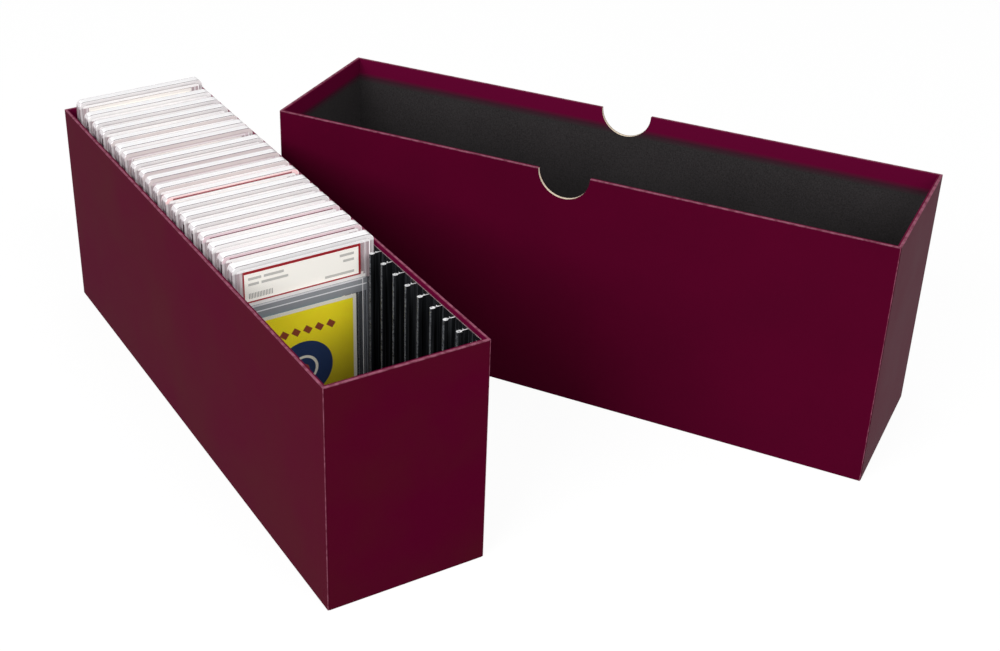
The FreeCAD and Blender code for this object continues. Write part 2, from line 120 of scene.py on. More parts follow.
# %% [markdown]
# ## Node helpers
#
# Every finish below is a small node tree on the Principled shader. Most of them fade between two
# colours by a noise or by a measured place, so a few short helpers keep the trees readable: one adds
# a node with its settings and links, one fades between two colours, and others give 1 in a wanted
# place and 0 elsewhere. Distances in them are in metres, except on UV maps, which count millimetres.

# %% Node helpers
def new_material(name):
    """A node material and its tree."""
    material = bpy.data.materials.new(name)
    material.use_nodes = True
    return material, material.node_tree


def shader_of(tree):
    """The Principled shader of a node tree."""
    return next(node for node in tree.nodes if node.type == "BSDF_PRINCIPLED")


def add(tree, kind, links=(), **settings):
    """Adds a node, sets its properties and sockets by name, and links its inputs."""
    node = tree.nodes.new(kind)
    for name, value in settings.items():
        if hasattr(node, name):
            setattr(node, name, value)
        else:
            node.inputs[name.replace("_", " ")].default_value = value
    for socket, source in dict(links).items():
        tree.links.new(source, node.inputs[socket])
    return node


def measure(tree, operation, first, second=0.0, third=0.0):
    """A Math node; each input is a number or an output."""
    node = tree.nodes.new("ShaderNodeMath")
    node.operation = operation
    for index, value in enumerate((first, second, third)):
        if isinstance(value, (int, float)):
            node.inputs[index].default_value = value
        else:
            tree.links.new(value, node.inputs[index])
    return node.outputs[0]


def scaled(tree, value, by, plus=0.0):
    """A value times a number, plus another."""
    return measure(tree, "MULTIPLY_ADD", value, by, plus)


def step_up(tree, value, low, high):
    """Rises from 0 at low to 1 at high."""
    node = add(tree, "ShaderNodeMapRange", {"Value": value}, From_Min=low, From_Max=high)
    node.clamp = True
    return node.outputs["Result"]


def both(tree, first, second):
    """1 where both are 1."""
    return measure(tree, "MULTIPLY", first, second)


def either(tree, first, second):
    """1 where one or the other is 1."""
    return measure(tree, "MAXIMUM", first, second)


def inside(tree, value, low, high):
    """1 where low < value < high, else 0."""
    above = measure(tree, "GREATER_THAN", value, low)
    below = measure(tree, "LESS_THAN", value, high)
    return both(tree, above, below)


def oblong(tree, across, up, left, right, low, high):
    """1 inside an upright rectangle, else 0."""
    return both(tree, inside(tree, across, left, right), inside(tree, up, low, high))


def times(colour, factor):
    """A colour made lighter or darker."""
    return tuple(min(1.0, value * factor) for value in colour)


def fade(tree, amount, start, end):
    """Mixes two colours, each a tuple or an output, by an amount from 0 to 1."""
    node = tree.nodes.new("ShaderNodeMix")
    node.data_type = "RGBA"
    for socket, value in ((0, amount), (6, start), (7, end)):
        if isinstance(value, tuple):
            node.inputs[socket].default_value = (*value, 1)
        else:
            tree.links.new(value, node.inputs[socket])
    return node.outputs[2]


def object_place(tree):
    """The object's own coordinates, as one vector."""
    return tree.nodes.new("ShaderNodeTexCoord").outputs["Object"]


def axes_of(tree, place):
    """The X, Y and Z outputs of a vector."""
    return add(tree, "ShaderNodeSeparateXYZ", {"Vector": place}).outputs


def noise(tree, size, detail=3.0, roughness=0.55, where=None):
    """A noise whose grain is about size metres across, on the object's own coordinates."""
    return add(tree, "ShaderNodeTexNoise", {"Vector": where or object_place(tree)}, Scale=1 / size,
               Detail=detail, Roughness=roughness).outputs["Fac"]


def across_and_up(tree, width, height):
    """The UV map in millimetres, for a sheet of a size in metres that the map spans."""
    parts = axes_of(tree, tree.nodes.new("ShaderNodeTexCoord").outputs["UV"])
    return scaled(tree, parts["X"], width / MM), scaled(tree, parts["Y"], height / MM)


def emboss(tree, height, distance, strength=1.0):
    """Links a bump of a real height, in metres, to the shader's normal."""
    bump = add(tree, "ShaderNodeBump", {"Height": height}, Strength=strength, Distance=distance)
    tree.links.new(bump.outputs["Normal"], shader_of(tree).inputs["Normal"])


def finish(tree, colour, roughness, specular=None):
    """Gives the shader its colour and roughness, each an output or a constant, and its gloss."""
    sockets = shader_of(tree).inputs
    tree.links.new(colour, sockets["Base Color"])
    if isinstance(roughness, float):
        sockets["Roughness"].default_value = roughness
    else:
        tree.links.new(roughness, sockets["Roughness"])
    if specular is not None:
        sockets["Specular IOR Level"].default_value = specular


def paint(name, material):
    """Gives a CAD node one material."""
    slots = nodes[name].data.materials
    slots.clear()
    slots.append(material)


print("node helpers ready")

# %% [markdown]
# ## Floor, world and lamps
#
# The boxes stand on a pale, plain floor that runs out of view. The camera and every reflection see
# floor and room as white, with only a soft shadow under the object, while the room lights the
# object more weakly. Three large soft lamps do the rest: a weak one above, a strong one on the left
# and one in front.

# %% Floor and world
FLOOR_SIZE = 12
FLOOR_DROP = 0.2 * MM  # keeps the floor clear of the boxes' undersides
FLOOR_WHITE = 0.93  # the share of the floor's look that is plain white, the rest takes shadows
FLOOR_SEEN = (0.97, 0.97, 0.97)
FLOOR_BOUNCE = (0.4, 0.4, 0.4)
ROOM_FILL = 0.45


def seen_directly(tree):
    """1 for rays of the camera, through clear pieces or mirrored in glossy ones, else 0."""
    path = tree.nodes.new("ShaderNodeLightPath").outputs
    seen = either(tree, path["Is Camera Ray"], path["Is Glossy Ray"])
    return either(tree, seen, path["Is Transmission Ray"])


bpy.ops.object.select_all(action="DESELECT")
bpy.ops.mesh.primitive_plane_add(size=FLOOR_SIZE, location=(0.1, 0, -FLOOR_DROP))
floor = bpy.context.active_object
floor.name = "floor"
floor_paint, tree = new_material("floor_white")
finish(tree, fade(tree, seen_directly(tree), FLOOR_BOUNCE, FLOOR_SEEN), 0.9, specular=0.0)
glow = tree.nodes.new("ShaderNodeEmission")
glow.inputs["Color"].default_value = (1, 1, 1, 1)
white_share = scaled(tree, seen_directly(tree), FLOOR_WHITE)
mix = add(tree, "ShaderNodeMixShader",
          {0: white_share, 1: shader_of(tree).outputs[0], 2: glow.outputs[0]})
tree.links.new(mix.outputs[0], tree.nodes["Material Output"].inputs["Surface"])
floor.data.materials.append(floor_paint)

world = bpy.data.worlds.new("studio")
world.use_nodes = True
bpy.context.scene.world = world
tree = world.node_tree
room = tree.nodes["Background"]
room.inputs["Color"].default_value = (1, 1, 1, 1)
level = scaled(tree, seen_directly(tree), by=1 - ROOM_FILL, plus=ROOM_FILL)
tree.links.new(level, room.inputs["Strength"])
print("floor and world are white to the camera")

# %% Lamps
SUBJECT = Vector((0.1, 0, 0.08))
LAMPS = (  # name, place, size in metres, watts
    ("lamp_above", (0.1, 0.1, 1.7), 1.4, 3),
    ("lamp_left", (-1.5, -0.7, 1.1), 1.2, 40),
    ("lamp_front", (0.4, -1.45, 1.4), 1.0, 19),
)
for name, place, size, watts in LAMPS:
    bpy.ops.object.light_add(type="AREA", location=place)
    lamp = bpy.context.active_object
    lamp.name = name
    lamp.data.size = size
    lamp.data.energy = watts
    lamp.rotation_euler = (SUBJECT - lamp.location).to_track_quat("-Z", "Y").to_euler()
print(len(LAMPS), "soft lamps")

# %% [markdown]
# ## Covering paper
#
# The boxes are wrapped in a coated burgundy paper with a faint grain. It could be one flat colour,
# but real paper clouds a little from place to place and wears pale along its folds. So the colour
# mixes two reds by a broad noise, a fine noise gives the grain, and the paper turns paler in the
# last fraction of a millimetre at the rim and the upright edges, more in some spots than in others:
# partly wear, and partly a painted highlight where the rounded edges catch the light.
# Those edges are found by measuring inwards from the box's own sides, which needs coordinates that
# are centred and turned with it. Inside the mouth the paper is painted lighter and redder, a painted
# bounced light, and it darkens softly towards the lining, a painted shade along the seam.

# %% Covering paper
TRAY_REDS = ((0.060, 0.0027, 0.0104), (0.064, 0.0004, 0.0128))
COVER_REDS = ((0.057, 0.0005, 0.0117), (0.063, 0.0004, 0.0126))
TRAY_GLOSS, COVER_GLOSS = 0.0035, 0.0055
# The pale tone: flecks and wear of the paper, and a painted highlight along its rounded edges.
PAPER_WEAR_AND_HIGHLIGHT = (0.225, 0.072, 0.110)
# Painted bounced light: inside the mouth the paper is a lighter, redder copy.
PAPER_INSIDE_LIT = (0.092, 0.0014, 0.0222)
INSIDE_FROM = (1.5 * MM, 1.6 * MM)  # the depth in the wall where the inner side's red takes over
OUTSIDE_UNTIL = (1.45 * MM, 1.15 * MM)
# Painted shade where the turned-in paper meets the lining, on both of them.
SEAM_SHADE = (0.034, 0.0097, 0.0175)
SEAM_SHADE_REACH = 3.2 * MM
CLOUD_SIZE = 60 * MM
FLECK_SIZE, FLECK_SHARE = 1.1 * MM, 0.012
GRAIN_SIZE, GRAIN_HEIGHT = 0.7 * MM, 0.012 * MM
PALE_EDGE_BAND = (0.75 * MM, 0.35 * MM)  # the distance from an edge where the wear and painted highlight start and are full
PALE_EDGE_PATCH, PALE_EDGE_UNEVEN = 6 * MM, 0.5 * MM
PALE_PATCH_SIZE, LEAST_PALE_SHARE = 3.5 * MM, 0.4


def box_coordinates(tree, middle, turn):
    """Object coordinates measured from a box's middle, turned to lie along its walls."""
    mapping = add(tree, "ShaderNodeMapping", {"Vector": object_place(tree)}, vector_type="TEXTURE")
    mapping.inputs["Location"].default_value = (*middle, 0)
    mapping.inputs["Rotation"].default_value = (0, 0, turn)
    return axes_of(tree, mapping.outputs[0])


def depth_in(tree, half_size, place):
    """How far a place lies inwards from a box's side."""
    return measure(tree, "SUBTRACT", half_size, measure(tree, "ABSOLUTE", place))


def covering_paper(name, middle, turn, half_sizes, rim_height, reds, gloss):
    """Burgundy paper: wear and painted highlight at rim and upright edges, painted lit and redder
    inside.
    """
    material, tree = new_material(name)
    clouds = noise(tree, CLOUD_SIZE, detail=4)
    x, y, z = box_coordinates(tree, middle, turn)
    depth_x, depth_y = depth_in(tree, half_sizes[0], x), depth_in(tree, half_sizes[1], y)
    into_wall = measure(tree, "MINIMUM", depth_x, depth_y)
    from_corner = measure(tree, "MAXIMUM", depth_x, depth_y)
    below_rim = measure(tree, "SUBTRACT", rim_height, z)

    outer = fade(tree, step_up(tree, clouds, 0.35, 0.65), *reds)
    # painted shade towards the lining
    shade_near_lining = step_up(tree, below_rim, seam_depth - SEAM_SHADE_REACH, seam_depth)
    inside_lit_and_shaded = fade(tree, shade_near_lining, PAPER_INSIDE_LIT, SEAM_SHADE)
    # inside the wall, the paper with painted bounced light and shade takes over
    colour = fade(tree, step_up(tree, into_wall, *INSIDE_FROM), outer, inside_lit_and_shaded)
    flecks = noise(tree, FLECK_SIZE, detail=2, roughness=0.7)
    colour = fade(tree, scaled(tree, flecks, FLECK_SHARE), colour, PAPER_WEAR_AND_HIGHLIGHT)

    # Pale along the rim and upright edges: partly wear, partly a painted highlight of the rounded
    # edges.
    uneven = scaled(tree, noise(tree, PALE_EDGE_PATCH, roughness=0.6), PALE_EDGE_UNEVEN)
    from_edge = measure(tree, "MINIMUM", below_rim, from_corner)
    pale_edge = step_up(tree, measure(tree, "ADD", uneven, from_edge), *PALE_EDGE_BAND)
    pale_edge = both(tree, pale_edge, step_up(tree, into_wall, *OUTSIDE_UNTIL))
    patchy = step_up(tree, noise(tree, PALE_PATCH_SIZE, roughness=0.6), 0.38, 0.58)
    pale_edge = both(tree, pale_edge, scaled(tree, patchy, by=1 - LEAST_PALE_SHARE, plus=LEAST_PALE_SHARE))
    colour = fade(tree, pale_edge, colour, PAPER_WEAR_AND_HIGHLIGHT)
    finish(tree, colour, scaled(tree, clouds, by=0.12, plus=0.36), gloss)
    emboss(tree, noise(tree, GRAIN_SIZE, detail=2), GRAIN_HEIGHT, strength=0.6)
    return material


COVER_TURN = math.radians(33.3)
tray_middle, tray_size = (0, 0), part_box("tray_right_wrap")[1][:2]
cover_points = [vertex.co for name in ("cover_front_wrap", "cover_rear_wrap")
                for vertex in nodes[name].data.vertices]
low, high = corners_of(cover_points)
cover_middle = (low + high).xy / 2
walls = [Vector((math.cos(angle), math.sin(angle))) for angle in (COVER_TURN, COVER_TURN + math.pi / 2)]
cover_size = [max((point.xy - cover_middle).dot(wall) for point in cover_points) for wall in walls]
print("half sizes in mm: tray", [round(value / MM, 2) for value in tray_size],
      "cover", [round(value / MM, 2) for value in cover_size])
lining_top = max(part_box(name)[1][2] for name in nodes
                 if name.startswith("cover") and "liner" in name)
seam_depth = cover_top - lining_top
print("the turned-in paper reaches", round(seam_depth / MM, 2), "mm down")
tray_paper = covering_paper("tray_covering_paper", tray_middle, 0, tray_size, tray_top,
                            TRAY_REDS, TRAY_GLOSS)
cover_paper = covering_paper("cover_covering_paper", cover_middle, COVER_TURN, cover_size, cover_top,
                             COVER_REDS, COVER_GLOSS)
for name in ("tray_left_wrap", "tray_right_wrap", "tray_front_paper", "tray_back_paper",
             "tray_base_paper"):
    paint(name, tray_paper)
for name in ("cover_front_wrap", "cover_rear_wrap", "cover_left_paper", "cover_right_paper",
             "cover_top_paper"):
    paint(name, cover_paper)
print("covering paper on both boxes")

# %% [markdown]
# ## Greyboard, lining and tape
#
# The raw board shows only in the cover's thumb notches, as a pale layered edge. The lining is a dark
# grey paper with a felt-like surface: a fine, high-contrast noise for its fibres and a very rough
# shader. In the cover its upper edge turns a dark red, the painted shade that the paper just above it
# shares, so that the seam is soft. The tape round the corners is hidden under the paper and gets a
# plain kraft finish.

# %% Greyboard, lining and tape
FIBRE_SHARE, CLOUD_SHARE = 0.95, 0.15
CLOUD_TO_FIBRE = 40
PAPER_SPECULAR = 0.05


def fibrous_paper(name, dark, light, fibre, roughness, bump, seam=None):
    """A matte paper or board with visible fibres, in painted shade just below a seam's height."""
    material, tree = new_material(name)
    fibres = noise(tree, fibre, detail=4, roughness=0.75)
    clouds = scaled(tree, noise(tree, fibre * CLOUD_TO_FIBRE), CLOUD_SHARE)
    blend = measure(tree, "MULTIPLY_ADD", fibres, FIBRE_SHARE, clouds)
    colour = fade(tree, step_up(tree, blend, 0.35, 0.75), dark, light)
    if seam is not None:
        height = axes_of(tree, object_place(tree))["Z"]
        # painted shade just below the seam
        colour = fade(tree, step_up(tree, height, seam - SEAM_SHADE_REACH, seam), colour, SEAM_SHADE)
    finish(tree, colour, roughness, PAPER_SPECULAR)
    emboss(tree, fibres, bump)
    return material


LINING_LOOK = {"dark": (0.0120, 0.0108, 0.0112), "light": (0.034, 0.0308, 0.0318),
               "fibre": 0.8 * MM, "roughness": 0.95, "bump": 0.05 * MM}
lining = fibrous_paper("lining_paper", **LINING_LOOK)
cover_lining = fibrous_paper("cover_lining_paper", **LINING_LOOK, seam=lining_top)
greyboard = fibrous_paper("greyboard", dark=(0.42, 0.34, 0.25), light=(0.72, 0.63, 0.5),
                          fibre=0.9 * MM, roughness=0.9, bump=0.06 * MM)
kraft = fibrous_paper("kraft_tape", dark=(0.3, 0.2, 0.11), light=(0.42, 0.3, 0.17),
                      fibre=1.2 * MM, roughness=0.8, bump=0.02 * MM)
for name in nodes:
    if name.endswith("_board"):
        paint(name, greyboard)
    elif name.endswith(("_liner", "_liners")):
        paint(name, cover_lining if name.startswith("cover") else lining)
    elif name.endswith("_tapes"):
        paint(name, kraft)
print("greyboard, lining and tape painted")

# %% [markdown]
# ## Black inserts
#
# The ribbed inserts are glossy black plastic. Where the strip was cut to height, the cut edge gets a
# painted glint, a painted highlight that draws each rib's section on top. The glint is found by
# height. The gloss is broken by faint vertical streaks, which are painted lighter as highlights, and
# a painted highlight runs grey along the ribs' noses here and there.

# %% Black inserts
# The lighter streak tone is a painted highlight on the gloss.
INSERT_BLACK, INSERT_HIGHLIGHT_STREAK = (0.006, 0.0065, 0.0075), (0.030, 0.032, 0.036)
# A painted highlight along the ribs' noses, in patches.
NOSE_HIGHLIGHT = (0.115, 0.120, 0.130)
NOSE_HIGHLIGHT_BAND = (0.4 * MM, 0.2 * MM)
# Painted glints on the cut top edge, of the ribs and of the sheet.
RIB_CUT_GLINT = ((0.08, 0.08, 0.085), (0.85, 0.85, 0.86))
SHEET_CUT_GLINT = ((0.10, 0.07, 0.075), (0.36, 0.24, 0.26))
CUT_GLINT_BAND = (0.12 * MM, 0.04 * MM)  # how far below the cut height the painted glint starts and is full
STREAK_SIZE, STREAK_SQUEEZE = 1.6 * MM, (1, 1, 0.02)


def insert_plastic(name, cut_height, nose, glint_dark, glint_light):
    """Black gloss plastic: painted glints at the cut height, painted highlights on streaks and noses.
    """
    material, tree = new_material(name)
    place = axes_of(tree, object_place(tree))
    stretched = add(tree, "ShaderNodeMapping", {"Vector": object_place(tree)})
    stretched.inputs["Scale"].default_value = STREAK_SQUEEZE
    streaks = noise(tree, STREAK_SIZE, detail=2, roughness=0.5, where=stretched.outputs[0])
    highlight_patches = noise(tree, 1.2 * MM, roughness=0.7)
    # painted highlight streaks
    black = fade(tree, step_up(tree, streaks, 0.5, 0.72), INSERT_BLACK, INSERT_HIGHLIGHT_STREAK)
    # a painted highlight along the nose, in patches
    off_nose = measure(tree, "ABSOLUTE", measure(tree, "SUBTRACT", place["X"], nose))
    patchy = both(tree, step_up(tree, off_nose, *NOSE_HIGHLIGHT_BAND), step_up(tree, highlight_patches, 0.35, 0.6))
    black = fade(tree, patchy, black, NOSE_HIGHLIGHT)
    # painted glints at the cut height, in patches
    pale = fade(tree, step_up(tree, highlight_patches, 0.3, 0.7), glint_dark, glint_light)
    cut = step_up(tree, place["Z"], *(cut_height - below for below in CUT_GLINT_BAND))
    finish(tree, fade(tree, cut, black, pale), scaled(tree, streaks, by=0.16, plus=0.14), 0.12)
    emboss(tree, streaks, 0.02 * MM, strength=0.5)
    return material


for side in ("left", "right"):
    ribs_low, ribs_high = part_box(f"{side}_ribs")
    cut_height = ribs_high[2]
    nose = ribs_low[0] if side == "right" else ribs_high[0]
    for piece, glint_tones in (("ribs", RIB_CUT_GLINT), ("rib_sheet", SHEET_CUT_GLINT)):
        plastic = insert_plastic(f"{side}_{piece}_plastic", cut_height, nose, *glint_tones)
        paint(f"{side}_{piece}", plastic)
    print(side, "insert painted, cut edge at", round(cut_height / MM, 2), "mm")

# %% [markdown]
# ## A slab's own frame
#
# The slabs lean in their slots, each a little differently. A new slab is modelled once, upright, with
# its lower edge at height 0 and the joint of its two shells at depth 0, and is then moved to where
# each CAD slab stands. The lean is read from the CAD mesh: a slab is the same on both faces, so the
# long axis of its points, seen from the side, is the slab's own upright.

# %% Read where each slab stands
SLABS = sorted(name for name in frame["bodies"] if name.startswith("slab_"))


def standing_frame(body):
    """The matrix that carries an upright slab at the origin to its place, and its size."""
    shells = [name for name in nodes if name.startswith(body) and ("_shell" in name or name == body)]
    points = [vertex.co.copy() for name in shells for vertex in nodes[name].data.vertices]
    middle = sum(points, Vector()) / len(points)
    spread_y = sum((point.y - middle.y) ** 2 for point in points)
    spread_z = sum((point.z - middle.z) ** 2 for point in points)
    shared = sum((point.y - middle.y) * (point.z - middle.z) for point in points)
    lean = 0.5 * math.atan2(2 * shared, spread_z - spread_y)
    upright = Matrix.Rotation(lean, 3, "X")
    low, high = corners_of([upright @ point for point in points])
    foot = Vector(((low.x + high.x) / 2, (low.y + high.y) / 2, low.z))
    matrix = Matrix.Translation(upright.inverted() @ foot) @ upright.inverted().to_4x4()
    return matrix, high - low


stands = {body: standing_frame(body) for body in SLABS}
WIDE, DEEP, TALL = SLAB_SIZE = stands[SLABS[1]][1]
print("slab size in mm", [round(value / MM, 2) for value in SLAB_SIZE])
for body in (SLABS[0], SLABS[6], SLABS[-1]):
    print(body, "leans", round(math.degrees(-stands[body][0].to_euler().x), 2), "degrees back")

# %% [markdown]
# ## Label, sleeve and card
#
# The paper label, the film sleeve and the card are all flat boxes in the CAD model. Turned back into
# the upright frame, those of the front slab give the places where the shells' mouldings go.

# %% Measure the label, the sleeve and the card
def upright_box(node):
    """A node's lowest and highest corners in the upright frame of the front slab."""
    undo = stands["slab_01"][0].inverted()
    return corners_of([undo @ vertex.co for vertex in nodes[node].data.vertices])


LABEL = upright_box("slab_01_label")
SLEEVE = upright_box("slab_01_sleeve")
CARD = upright_box("slab_01_card")
for name, (low, high) in (("label", LABEL), ("sleeve", SLEEVE), ("card", CARD)):
    print(name, [round(value / MM, 2) for value in (*low, *high)])

# %% [markdown]
# ## Modelling helpers
#
# The new pieces are modelled in edit mode. Each starts as a box at its size. Faces and edges are
# picked in code by a test on their place or direction, and an operator then works on what is picked,
# as it would by hand.

# %% Modelling helpers
TOUCH = 0.01 * MM  # places nearer than this count as the same


def start_box(name, low, high):
    """Adds a box between two corners and makes it the only selected object."""
    if bpy.context.mode != "OBJECT":
        bpy.ops.object.mode_set(mode="OBJECT")
    bpy.ops.object.select_all(action="DESELECT")
    low, high = Vector(low), Vector(high)
    bpy.ops.mesh.primitive_cube_add(size=1, location=(low + high) / 2)
    piece = bpy.context.active_object
    piece.name = piece.data.name = name
    piece.scale = high - low
    bpy.ops.object.transform_apply(location=True, rotation=True, scale=True)
    return piece


def pick(piece, kind, test):
    """In edit mode, selects only the FACE or EDGE parts that pass a test."""
    bpy.ops.object.mode_set(mode="EDIT")
    bpy.ops.mesh.select_mode(type=kind)
    bpy.ops.mesh.select_all(action="DESELECT")
    mesh = bmesh.from_edit_mesh(piece.data)
    for part in mesh.faces if kind == "FACE" else mesh.edges:
        if test(part):
            part.select_set(True)
    bmesh.update_edit_mesh(piece.data)


def done(piece):
    """Leaves edit mode with the normals pointing outwards."""
    bpy.ops.mesh.select_all(action="SELECT")
    bpy.ops.mesh.normals_make_consistent(inside=False)
    bpy.ops.object.mode_set(mode="OBJECT")
    return piece


def runs_through(edge):
    """Whether an edge runs from front to back."""
    return abs((edge.verts[0].co - edge.verts[1].co).normalized().y) > 0.99


def looks_front(face):
    """Whether a face looks to the front."""
    return face.normal.y < -0.99


def join(pieces, name):
    """Joins pieces into the first one."""
    bpy.ops.object.select_all(action="DESELECT")
    for piece in pieces:
        piece.select_set(True)
    bpy.context.view_layer.objects.active = pieces[0]
    bpy.ops.object.join()
    pieces[0].name = pieces[0].data.name = name
    return pieces[0]


print("modelling helpers ready")

# %% [markdown]
# ## Clear plastic
#
# The shells are clear, hard plastic. Full refraction through nineteen slabs would be slow and noisy,
# and the walls are thin and flat, so they hardly bend the view. So the plastic is see-through by
# alpha, with a gloss: almost clear on its flat panels and dense on the moulded edges, which gather
# light. Shadow rays pass more easily than the eye does, because clear plastic throws hardly any
# shadow.

# %% Clear plastic
LIGHT_PASSED = 0.97
LAYERS_SEEN = 64
HAZE_SIZE = 6 * MM


def let_light_in(tree, cover):
    """Links a cover from 0 to 1 to the shader's alpha, but lets most of the light through."""
    shade = tree.nodes.new("ShaderNodeLightPath").outputs["Is Shadow Ray"]
    kept = scaled(tree, shade, by=-LIGHT_PASSED, plus=1.0)
    tree.links.new(measure(tree, "MULTIPLY", cover, kept), shader_of(tree).inputs["Alpha"])


def clear_plastic(name, cover, colour, roughness, grain=HAZE_SIZE):
    """Glossy plastic, seen through by alpha."""
    material, tree = new_material(name)
    haze = noise(tree, grain, roughness=0.6)
    finish(tree, fade(tree, haze, colour, times(colour, 1.06)), roughness)
    let_light_in(tree, cover)
    emboss(tree, haze, 0.01 * MM, strength=0.4)
    return material


corner_plastic = clear_plastic("clear_corner", 0.80, (0.52, 0.49, 0.505), 0.15)
edge_plastic = clear_plastic("clear_edge_line", 0.95, (0.11, 0.10, 0.105), 0.3)
bright_plastic = clear_plastic("clear_bright_line", 0.95, (0.74, 0.72, 0.735), 0.1)
# Where the shell stands open, its uprights are in painted shade.
shut_upright = clear_plastic("clear_upright_shut", 0.95, (0.28, 0.25, 0.26), 0.2)
open_upright = clear_plastic("clear_upright_open", 0.95, (0.03, 0.027, 0.03), 0.2)
sleeve_plastic = clear_plastic("sleeve_film", 0.008, (0.6, 0.6, 0.62), 0.1, grain=10 * MM)
shader_of(sleeve_plastic.node_tree).inputs["Specular IOR Level"].default_value = 0.03
bpy.context.scene.cycles.transparent_max_bounces = LAYERS_SEEN
print("clear plastics ready")

# %% [markdown]
# ## Crown and rims
#
# The shells carry a UV map that holds real distances, so details can be drawn on it in millimetres:
# across and up on the faces, through and up on the sides, through and across on top. The crown, a
# slab's flat top, is white with fine streaks and a grey line where each edge turns. The raised rim
# picks up a tint from the label inside, in five tones, and a fine line runs along it below the top:
# a painted refraction of the label, seen through the plastic.
# Down the sides it is grey with a bright stripe, a painted highlight along the outer edge, and a dark
# stripe, and it turns darker further down, a painted shade lower in the tray.

# %% Crown and rim plastics
UV_SPAN = 100 * MM
# Painted refraction: the label's colour seen through each rim, on its top and in its line.
TINTS = {  # the rim's tone, its line's tone, and how far below the top that line lies
    "white": ((0.80, 0.785, 0.79), (0.62, 0.60, 0.61), (1.6, 1.9)),
    "grey": ((0.66, 0.63, 0.64), (0.44, 0.41, 0.42), (1.6, 2.1)),
    "pink": ((0.67, 0.51, 0.555), (0.15, 0.03, 0.055), (1.6, 3.0)),
    "blush": ((0.61, 0.54, 0.54), (0.50, 0.43, 0.44), (2.0, 2.6)),
    "red": ((0.88, 0.58, 0.59), (0.25, 0.030, 0.045), (1.2, 3.0)),
}
CROWN_TONES = ((0.70, 0.69, 0.70), (0.80, 0.795, 0.80))
CROWN_LINES = (  # from and to, through the slab's depth, and the tone
    (-3.3, -2.3, (0.25, 0.235, 0.24)),
    (-0.2, 0.25, (0.64, 0.625, 0.635)),
    (2.4, 3.3, (0.52, 0.50, 0.51)),
)
RIM_SIDE = (0.40, 0.345, 0.365)
# painted shade lower down the rim's sides
RIM_SIDE_SHADED = (0.13, 0.135, 0.15)
# The first stripe is a painted highlight along the slab's outer edge.
RIM_STRIPES = (  # from and to, inwards from the slab's side, and the tone
    (0.2, 1.3, (0.54, 0.51, 0.525)),
    (1.9, 2.3, (0.22, 0.18, 0.195)),
)
LINE_ENDS = 4.5  # how far the line along a rim stops short of the slab's sides
FAR = 99


def draw_lines(tree, colour, place, lines):
    """Draws lines of their own tones, each from one distance to another."""
    for low, high, tone in lines:
        colour = fade(tree, inside(tree, place, low, high), colour, tone)
    return colour


def crown_plastic():
    """The flat top: white, with fine streaks along it and grey lines where its edges turn."""
    material, tree = new_material("clear_crown")
    through, along = across_and_up(tree, UV_SPAN, UV_SPAN)
    stretched = add(tree, "ShaderNodeCombineXYZ", {0: through, 1: scaled(tree, along, 0.02)})
    streaks = noise(tree, 0.6, detail=2, roughness=0.6, where=stretched.outputs[0])
    colour = fade(tree, step_up(tree, streaks, 0.3, 0.7), *CROWN_TONES)
    finish(tree, draw_lines(tree, colour, through, CROWN_LINES), 0.25)
    let_light_in(tree, 0.93)
    return material


def rim_plastic(tint):
    """The raised rim: tinted along its top, grey with stripes and painted shade down its sides."""
    material, tree = new_material(f"clear_rim_{tint}")
    top_tone, line_tone, line_place = TINTS[tint]
    across, up = across_and_up(tree, UV_SPAN, UV_SPAN)
    from_side = depth_in(tree, WIDE / 2 / MM, across)
    below_top = measure(tree, "SUBTRACT", TALL / MM, up)
    # a painted highlight stripe and a dark stripe
    sides = draw_lines(tree, RIM_SIDE, from_side, RIM_STRIPES)
    # painted shade: the sides darken further down
    sides = fade(tree, step_up(tree, below_top, 22, 36), sides, RIM_SIDE_SHADED)
    # painted refraction of the label along the rim's top, and its line
    top = fade(tree, noise(tree, HAZE_SIZE, roughness=0.6), top_tone, times(top_tone, 1.05))
    line = both(tree, inside(tree, below_top, *line_place), inside(tree, from_side, LINE_ENDS, FAR))
    top = fade(tree, line, top, line_tone)
    finish(tree, fade(tree, step_up(tree, below_top, 3.2, 4.2), top, sides), 0.12)
    let_light_in(tree, 0.9)
    return material


crown = crown_plastic()
rim_plastics = {tint: rim_plastic(tint) for tint in TINTS}
# the seams carry the line's painted refraction
seam_plastics = {tint: clear_plastic(f"clear_seam_{tint}", 0.95, tones[1], 0.2)
                 for tint, tones in TINTS.items()}
print("rims in", ", ".join(rim_plastics))

# %% [markdown]
# ## Windows and walls
#
# Looking in from the front, the plastic is solid and white above the label, clear over the label and
# the card, and shows pale lines and grey bands where the pockets end, because the wall is thicker
# there. Beside the card a dark band is painted shade: the dark ribs and tray behind, seen through.
# Along the side walls run grey stripes. On a few slabs a dark slit also shows along the front edge of
# the side, below the solid corner, where the outer shell stands a little open; its dark is painted
# shade in the gap.

# %% Window and side plastics
SEEN_LOWER = 1.6  # mm that the panel's drawing sits higher, because the label lies deeper
SEEN_WIDER = 0.16
CLEAR_TONE, CLEAR_COVER = (0.6, 0.6, 0.62), 0.008
WALL_TONES = ((0.25, 0.215, 0.23), (0.33, 0.29, 0.305))
WALL_STRIPES = (  # from and to, through the slab's depth, and the tone
    (-0.6, 0.2, (0.44, 0.41, 0.43)),
    (1.0, 1.6, (0.24, 0.21, 0.22)),
    (2.6, 3.2, (0.17, 0.145, 0.155)),
)
SLIT_PLACE = (-3.3, -1.4)
SLIT_FOOT, SLIT_TOP = 5, TALL / MM - 4.4


